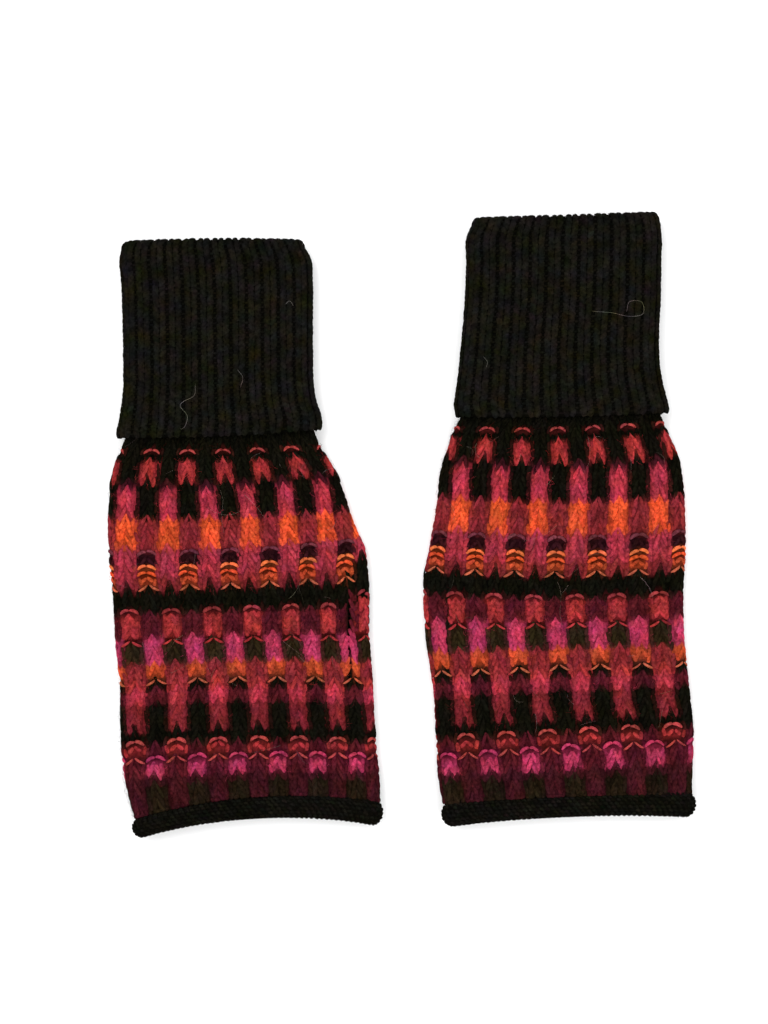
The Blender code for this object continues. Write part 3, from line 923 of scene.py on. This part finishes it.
def fibres(hand, surface, fibre):
    """Fibres rooted all over the upper side of a hand tube, each a low arch that wanders as it goes.

    It goes on in even steps, on a heading that drifts evenly, and its height is a sine of the way along it.
    """
    count, steps = fibre.count, fibre.steps
    stitch = RANDOM.uniform(*FIBRE_STITCHES, count)
    row = RANDOM.uniform(FIBRE_FIRST_ROW, fibre.last_row, count)
    down = np.interp(row, ANCHOR_ROWS, hand.anchors)
    turn = stitch_turn(hand, stitch, row)
    if fibre.colour is None:
        # Painted shade: fibres rooted behind or just below purl bumps take a darkened colour.
        dye = nearest_colour_painted_shade(hand, turn, down, 1.0)
    else:
        dye = np.tile(linear(fibre.colour), (count, 1))
    t = np.linspace(0.0, 1.0, steps)[None, :]
    pace = fibre.length * RANDOM.gamma(5.0, 0.2, (count, 1)) / steps
    heading = RANDOM.uniform(0, 2 * np.pi, (count, 1)) + wobble(count, 0.9) * t
    round_it = np.cumsum(pace * np.cos(heading), axis=1)
    down_it = np.cumsum(pace * np.sin(heading), axis=1)
    ring_length = np.interp(down, surface.down, surface.length)[:, None]
    height = 0.1 + RANDOM.gamma(2.0, 0.2, (count, 1)) * np.sin(np.pi * (0.1 + 0.8 * t))
    centre, _ = on_surface(surface, turn[:, None] + round_it / ring_length, down[:, None] + down_it, height)
    dye = varied(np.broadcast_to(dye[:, None], centre.shape), 0.35)
    return strand_parts(ribbons(centre, fibre.half_width * (1 - 0.6 * t)), dye)


def add_fuzz(hand):
    """The short fibres and the long hairs of one hand tube, in one mesh."""
    surface = hand_surface(hand)
    parts = [fibres(hand, surface, fibre) for fibre in (SHORT_FIBRE, LONG_HAIR)]
    return joined(hand.side + "_hand_fuzz", parts, STITCH_WOOL)


fuzz = {hand.side: add_fuzz(hand) for hand in HANDS}

# Turned-back cuffs
# The wrist of each mitten is knit-one, purl-one ribbing in black wool, folded back over itself. The knit
# stitches stand up in columns and the purl stitches sink between them. The hidden layer is plain.
RIBS = 26
RIB_PHASE = 0.625  # where the first column's middle lies, in ribs from the middle of the underside
KNIT_SHARE = 0.87  # of a rib's width
RIB_HEIGHT = 0.8
CUFF_WALL = 2.0
INNER_WALL = 2.1
FOLD_WALL = 1.3  # the hidden layer's inside the fold
LAYER_GAP = 0.4
FOLD_RADIUS = (CUFF_WALL + LAYER_GAP + INNER_WALL) / 2
FOLD_REACH = FOLD_RADIUS + 0.8  # how far the fold stands out past its straight part
INSIDE_START = 2.0  # how far below the first ring the turned-back layer's inside starts
HIDDEN_START = 0.6  # and how far below it the hidden layer does
HAND_GAP = 0.35  # how far from the hand the hidden layer ends
HIDDEN_RINGS = 16
CUFF_RINGS = 44
CUFF_ROWS = 38
HIDDEN_CUFF_ROW = -2  # the first row, inside the fold
RIM_DROP = 1.5  # how far the rim's edge curves on below the last ring
RIM_IN = 0.3
RIM_PLAIN = 0.4
GROUND_LEVEL = -1.15  # of the ground in the valleys, from the surface
GROUND_RISE = 0.55  # how much higher it is under the columns
RIB_LEG_LEVEL = -0.66
RIB_LEG_HALF = 0.22  # of a column's width
RIB_LEG_RISE = 0.76
PURL_LEVEL = -1.05
PURL_HALF = 0.5
PURL_RISE = 0.4
VALLEY_SHADE = 0.7  # how dark the purl stitches look between the columns
BLACK = linear((17, 16, 12))
RIB_WOOL = wool_material("black_rib_wool", cast=0.2)
# Painted shade: the black ground under the rib's stitches is darkened to 0.4 of the yarn's black; the hidden
# layer and the rolled edge's cloth use it too.
RIB_GROUND_PAINTED_SHADE = wool_material("black_rib_ground_painted_shade", dye=BLACK * 0.4, sheen=0.0, ply=False)

# The cuffs' rings from the fold to the rim: left, right, y_left, y_mid and y_right of each, and their tops
CUFF_TOPS = (10.2, 10.5, 10.6, 10.6, 10.6, 10.6, 10.7, 10.8, 10.8)
CUFFS = {
    "left": (
        (-101.0, -34.6, 99.0, 100.0, 99.6),
        (-101.6, -32.7, 95.5, 96.5, 96.5),
        (-101.0, -31.8, 87.5, 88.0, 88.5),
        (-100.5, -31.8, 73.0, 74.0, 74.5),
        (-100.3, -31.7, 59.5, 60.0, 61.0),
        (-100.3, -31.5, 49.5, 50.0, 51.5),
        (-101.0, -30.5, 42.5, 43.0, 44.5),
        (-102.0, -28.7, 36.5, 37.0, 39.0),
        (-102.8, -28.3, 32.5, 33.0, 35.5),
    ),
    "right": (
        (25.5, 93.5, 107.5, 108.5, 109.5),
        (24.0, 94.1, 104.5, 105.0, 106.0),
        (23.5, 94.1, 93.5, 93.5, 94.5),
        (23.0, 93.9, 80.5, 80.5, 81.5),
        (21.9, 93.3, 67.0, 67.0, 67.5),
        (20.5, 94.0, 53.5, 53.5, 54.5),
        (19.5, 95.5, 46.5, 46.5, 47.5),
        (19.0, 96.5, 42.5, 42.5, 44.0),
        (19.5, 97.0, 40.0, 40.0, 41.5),
    ),
}


def moved(section, rise):
    """The same ring moved along Y."""
    left, right, y_left, y_mid, y_right, *levels = section
    return Section(left, right, y_left + rise, y_mid + rise, y_right + rise, *levels)


def cuff_surface(sections, step=0.6, count=624):
    """Surface through the tops of the ribs, from inside the fold, over it and down to the rim.

    Over the fold each ring moves in and along by a quarter circle's sine and cosine.
    """
    places = sections[0].y_mid - np.array([section.y_mid for section in sections])
    lean = np.linspace(np.pi, 0.0, 13)[:-1]
    rings = []
    for angle in lean:
        over = moved(sections[0], FOLD_REACH * np.sin(angle))
        rings.append(flat_ring(over, count, FOLD_RADIUS * (1 - np.cos(angle))))
    down = np.append(np.arange(0.0, places[-1], step), places[-1] + RIM_DROP)
    rings += [flat_ring(row, count) for row in resampled(sections, places, np.minimum(down[:-1], places[-1]))]
    rings.append(flat_ring(moved(sections[-1], -RIM_DROP), count, RIM_IN))
    return as_surface(rings, np.concatenate((-FOLD_RADIUS * lean, down)))


def rib_shape(turn):
    """From 0 in a valley to 1 on a column of knit stitches: a raised cosine with its top made broader."""
    wave = 0.5 + 0.5 * np.cos(2 * np.pi * (RIBS * turn - RIB_PHASE))
    return wave**0.7


def add_cuff_wall(side, sections, surface):
    """The turned-back layer behind its stitches: columns and valleys outside, and plain inside."""
    count = 8 * RIBS
    turn = np.arange(count) / count
    depth = GROUND_LEVEL + GROUND_RISE * rib_shape(turn)
    rows = np.linspace(surface.down[0], surface.down[-1], CUFF_RINGS)
    outer = [on_surface(surface, turn, np.full(count, place), depth)[0] for place in rows]
    plain = (moved(sections[-1], -RIM_DROP), sections[6], sections[3], moved(sections[0], -INSIDE_START))
    inner = [flat_ring(section, count, RIB_HEIGHT + CUFF_WALL) for section in plain]
    points, quads = closed_wall(outer + inner)
    return mesh_object(side + "_cuff_ground", points, quads, RIB_GROUND_PAINTED_SHADE)


def add_hidden_layer(side, first, last):
    """The plain layer below it, straight from inside the fold to the start of the hand."""
    count = 8 * RIBS
    depth = RIB_HEIGHT + CUFF_WALL + LAYER_GAP
    first, last = moved(first, -HIDDEN_START), moved(last, HAND_GAP)
    share = np.linspace(0.0, 1.0, HIDDEN_RINGS)[:, None, None]
    outside = (flat_ring(first, count, depth), flat_ring(last, count))
    inside = (flat_ring(last, count, INNER_WALL), flat_ring(first, count, depth + FOLD_WALL))
    rings = [ring for start, end in (outside, inside) for ring in start + (end - start) * share]
    points, quads = closed_wall(rings)
    return mesh_object(side + "_cuff_inside", points, quads, RIB_GROUND_PAINTED_SHADE)


def add_cuff_stitches(side, surface):
    """The two legs of each knit stitch on the columns, and the purl stitches in the valleys.

    A leg leans out as it rises, and its height is a power of a sine. A purl stitch is a shallow parabola.
    """
    row_size = (surface.down[-1] - RIM_PLAIN) / CUFF_ROWS
    rib, row = every_pair(np.arange(RIBS), np.arange(HIDDEN_CUFF_ROW, CUFF_ROWS))
    count = len(rib)
    down = (row[:, None] + 0.5) * row_size
    turn = (rib[:, None] + RIB_PHASE) / RIBS
    ring_length = np.interp(down, surface.down, surface.length)
    column = KNIT_SHARE * ring_length / RIBS
    parts = []
    t = np.linspace(0.0, 1.0, 5)[None, :]
    arch = np.sin(np.pi * (0.06 + 0.88 * t)) ** 0.6
    for way in (-1.0, 1.0):
        across = way * (0.13 + 0.19 * t) + wobble(count, 0.02)
        upward = 0.75 - 1.5 * t + wobble(count, 0.04)
        height = RIB_LEG_LEVEL - 0.2 * (1 - arch) + wobble(count, 0.025)
        size = wobble(count, 0.05, 1.0) * (0.72 + 0.28 * arch)
        turned = turn + across * (column / ring_length)
        centre, up = on_surface(surface, turned, down + upward * row_size, height)
        wide, tall = RIB_LEG_HALF * column * size, RIB_LEG_RISE * size
        parts.append(yarn_parts(centre, up, wide, tall, 5, BLACK, 0.13))
    t = np.linspace(-1.0, 1.0, 4)[None, :]
    sagging = down + 0.3 * t**2 * row_size
    height = PURL_LEVEL - 0.15 * t**2
    centre, up = on_surface(surface, turn - 0.5 / RIBS + 0.30 * t / RIBS, sagging, height)
    wide, tall = PURL_HALF * (1 - 0.2 * t**2), PURL_RISE * (1 - 0.2 * t**2)
    parts.append(yarn_parts(centre, up, wide, tall, 4, BLACK * VALLEY_SHADE, 0.12))
    return joined(side + "_cuff_stitches", parts, RIB_WOOL)


def add_cuff(hand):
    """The turned-back layer, the hidden one and the rib's stitches."""
    sections = [Section(*outline, 0.0, top, 0.0) for outline, top in zip(CUFFS[hand.side], CUFF_TOPS)]
    surface = cuff_surface(sections)
    return (
        add_cuff_wall(hand.side, sections, surface),
        add_hidden_layer(hand.side, sections[0], hand.sections[0]),
        add_cuff_stitches(hand.side, surface),
    )


cuffs = {hand.side: add_cuff(hand) for hand in HANDS}

# Stray hairs
# A few long pale hairs have caught on the cuffs. Each lies loosely over the ribs, and one ends in a loop.
STRAY_HALF = 0.05
STRAY_LEVEL = 10.95
STRAY_SWELL = 0.12
STRAY_POINTS = 24
STRAY_COLOUR = (98, 93, 84)

# The places that each hair bends through, seen from above
LEFT_HAIRS = (
    ((-73.8, 50.0), (-74.2, 46.1), (-78.1, 43.9), (-79.2, 42.1), (-76.7, 38.9), (-77.4, 35.2), (-79.0, 34.0)),
    ((-58.7, 55.4), (-56.8, 52.6), (-57.6, 49.0)),
    ((-41.5, 78.8), (-40.0, 80.0), (-38.6, 78.4)),
)
RIGHT_HAIRS = (
    ((68.8, 76.3), (75.6, 75.8), (81.7, 74.5), (86.8, 75.4), (86.4, 79.6), (82.0, 79.8), (81.0, 76.2)),
    ((29.5, 60.0), (31.0, 58.2), (30.4, 55.8)),
)


def add_stray_hairs(side, bends):
    """Flat ribbons through their bends, by a cubic, that rise and fall a little by a sine."""
    parts = []
    for points in bends:
        at = np.linspace(0.0, len(points) - 1.0, STRAY_POINTS)
        plan = resampled(points, np.arange(len(points), dtype=float), at)
        level = STRAY_LEVEL + STRAY_SWELL * np.sin(5 * at)
        centre = np.column_stack((plan, level))[None]
        width = STRAY_HALF * (1 - 0.5 * np.abs(np.linspace(-1.0, 1.0, STRAY_POINTS)) ** 3)[None]
        dye = np.broadcast_to(linear(STRAY_COLOUR), centre.shape)
        parts.append(strand_parts(ribbons(centre, width), dye))
    return joined(side + "_cuff_hairs", parts, RIB_WOOL)


strays = {"left": add_stray_hairs("left", LEFT_HAIRS), "right": add_stray_hairs("right", RIGHT_HAIRS)}

# Rolled finger edges
# The knitting ends in plain black rows that curl outwards on themselves, so the purl side shows: rows of
# small bumps that run along a soft roll all round the opening.
ROLL_HEIGHT = 10.2
ROLL_THICKNESS = 4.9
ROLL_WALL = 1.5
ROLL_START = 0.75 * np.pi  # the angles round the roll where the strip starts and where it ends, tucked in
ROLL_END = -1.35 * np.pi
ROLL_RINGS = 27
TUCK = 0.55
ROLL_ROWS = 16
EDGE_STITCHES = 98
ROLL_GROUND = 0.45  # the rolled cloth lies this far below the bumps' tops
ROUND_ENDS = 1.7  # how much further in the roll's ends curve than its cross-section does
EDGE_LEVEL = -0.4  # the bumps' middles, from the surface
EDGE_HALF = 0.3  # of a stitch's width
EDGE_RISE = 0.4
EDGE_SHADE = 0.8
EDGE_WOOL = wool_material("black_edge_wool", cast=0.1)

# A roll: its reach along X, its middle line's place along Y at the left side, middle and right side, and
# half its width there.
Roll = namedtuple("Roll", "left right y_left y_mid y_right half_left half_mid half_right")
ROLLS = {
    "left": Roll(-97.3, -6.2, -109.5, -102.1, -104.0, 3.9, 4.2, 4.9),
    "right": Roll(14.4, 106.8, -104.6, -101.6, -101.1, 4.7, 4.1, 4.8),
}


def roll_ring(roll, angle, count, shrink=0.0):
    """Ring at an angle round the roll's oval cross-section, or on one that is smaller on every side.

    At angle 0 it is the outermost ring, and at a quarter turn the one next to the hand.
    """
    radius = ROLL_THICKNESS / 2 - shrink
    whole = Section(*roll[:5], 0.0, ROLL_HEIGHT, 0.0)
    points = flat_ring(whole, count, ROLL_THICKNESS / 2 - radius * np.cos(angle))
    middle = (roll.left + roll.right) / 2
    across = (points[:, 0] - middle) / ((roll.right - roll.left) / 2)
    half = bend(roll.half_left, roll.half_mid, roll.half_right, np.clip(across, -1.0, 1.0)) - shrink
    points[:, 1] += half * np.sin(angle)
    points[:, 0] -= ROUND_ENDS * (1 - abs(np.cos(angle))) * across * np.abs(across) ** 5
    return points


def add_roll_wall(side, roll):
    """The rolled cloth: a strip wound once round, and tucked in by an even drift inwards at its end."""
    path = np.linspace(ROLL_START, ROLL_END, ROLL_RINGS)
    tuck = TUCK * (1 - np.clip((path - ROLL_END) / (0.5 * np.pi), 0.0, 1.0))
    outer, inner = (
        [roll_ring(roll, angle, 2 * STITCHES, depth + inwards) for angle, inwards in zip(path, tuck)]
        for depth in (ROLL_GROUND, ROLL_GROUND + ROLL_WALL)
    )
    points, quads = closed_wall(outer + inner[::-1])
    return mesh_object(side + "_edge_ground", points, quads, RIB_GROUND_PAINTED_SHADE)


def add_roll_stitches(side, roll):
    """The purl bumps outside, each row half a stitch along from the last.

    A bump is a parabola that lies across, a little askew, and is lower at its ends.
    """
    rings = [roll_ring(roll, angle, 8 * STITCHES) for angle in np.linspace(np.pi, -np.pi, 97)]
    step = [np.linalg.norm(b - a, axis=1).mean() for a, b in zip(rings, rings[1:])]
    surface = as_surface(rings, np.concatenate(([0.0], np.cumsum(step))))
    row_size = surface.down[-1] / ROLL_ROWS
    stitch, row = (numbers[:, None] for numbers in every_pair(np.arange(EDGE_STITCHES), np.arange(ROLL_ROWS)))
    count = len(stitch)
    place = (row + 0.5) * row_size
    width = np.interp(place, surface.down, surface.length) / EDGE_STITCHES
    t = np.linspace(-1.0, 1.0, 5)[None, :]
    across = 0.5 * (row % 2) + 0.42 * t + wobble(count, 0.04)
    upward = 0.35 * (0.5 - t**2) + 0.25 * t + wobble(count, 0.05)
    height = EDGE_LEVEL - 0.35 * t**2 + wobble(count, 0.03)
    turn = (stitch + across) / EDGE_STITCHES
    centre, up = on_surface(surface, turn, place - upward * row_size, height)
    size = 1 - 0.25 * t**2
    bumps = yarn_parts(centre, up, EDGE_HALF * width * size, EDGE_RISE * size, 4, BLACK * EDGE_SHADE, 0.2)
    return joined(side + "_edge_stitches", [bumps], EDGE_WOOL)


rolls = {side: (add_roll_wall(side, roll), add_roll_stitches(side, roll)) for side, roll in ROLLS.items()}

# The CAD model's parts
# Each hand, cuff and edge is a sheet of knitting. Its part in the CAD model is hidden, once for each piece
# built for it.
for side in ("left", "right"):
    hand_pieces = [grounds[side], *stitches[side], fuzz[side]]
    cuff_pieces = [*cuffs[side], strays[side]]
    edge_pieces = list(rolls[side])
    for pieces, node_name, slot in (
        (hand_pieces, side + "_hand", "stranded_wool"),
        (cuff_pieces, side + "_cuff", "rib_wool"),
        (edge_pieces, side + "_rolled_edge", "edge_wool"),
    ):
        for piece in pieces:
            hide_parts(node_name)
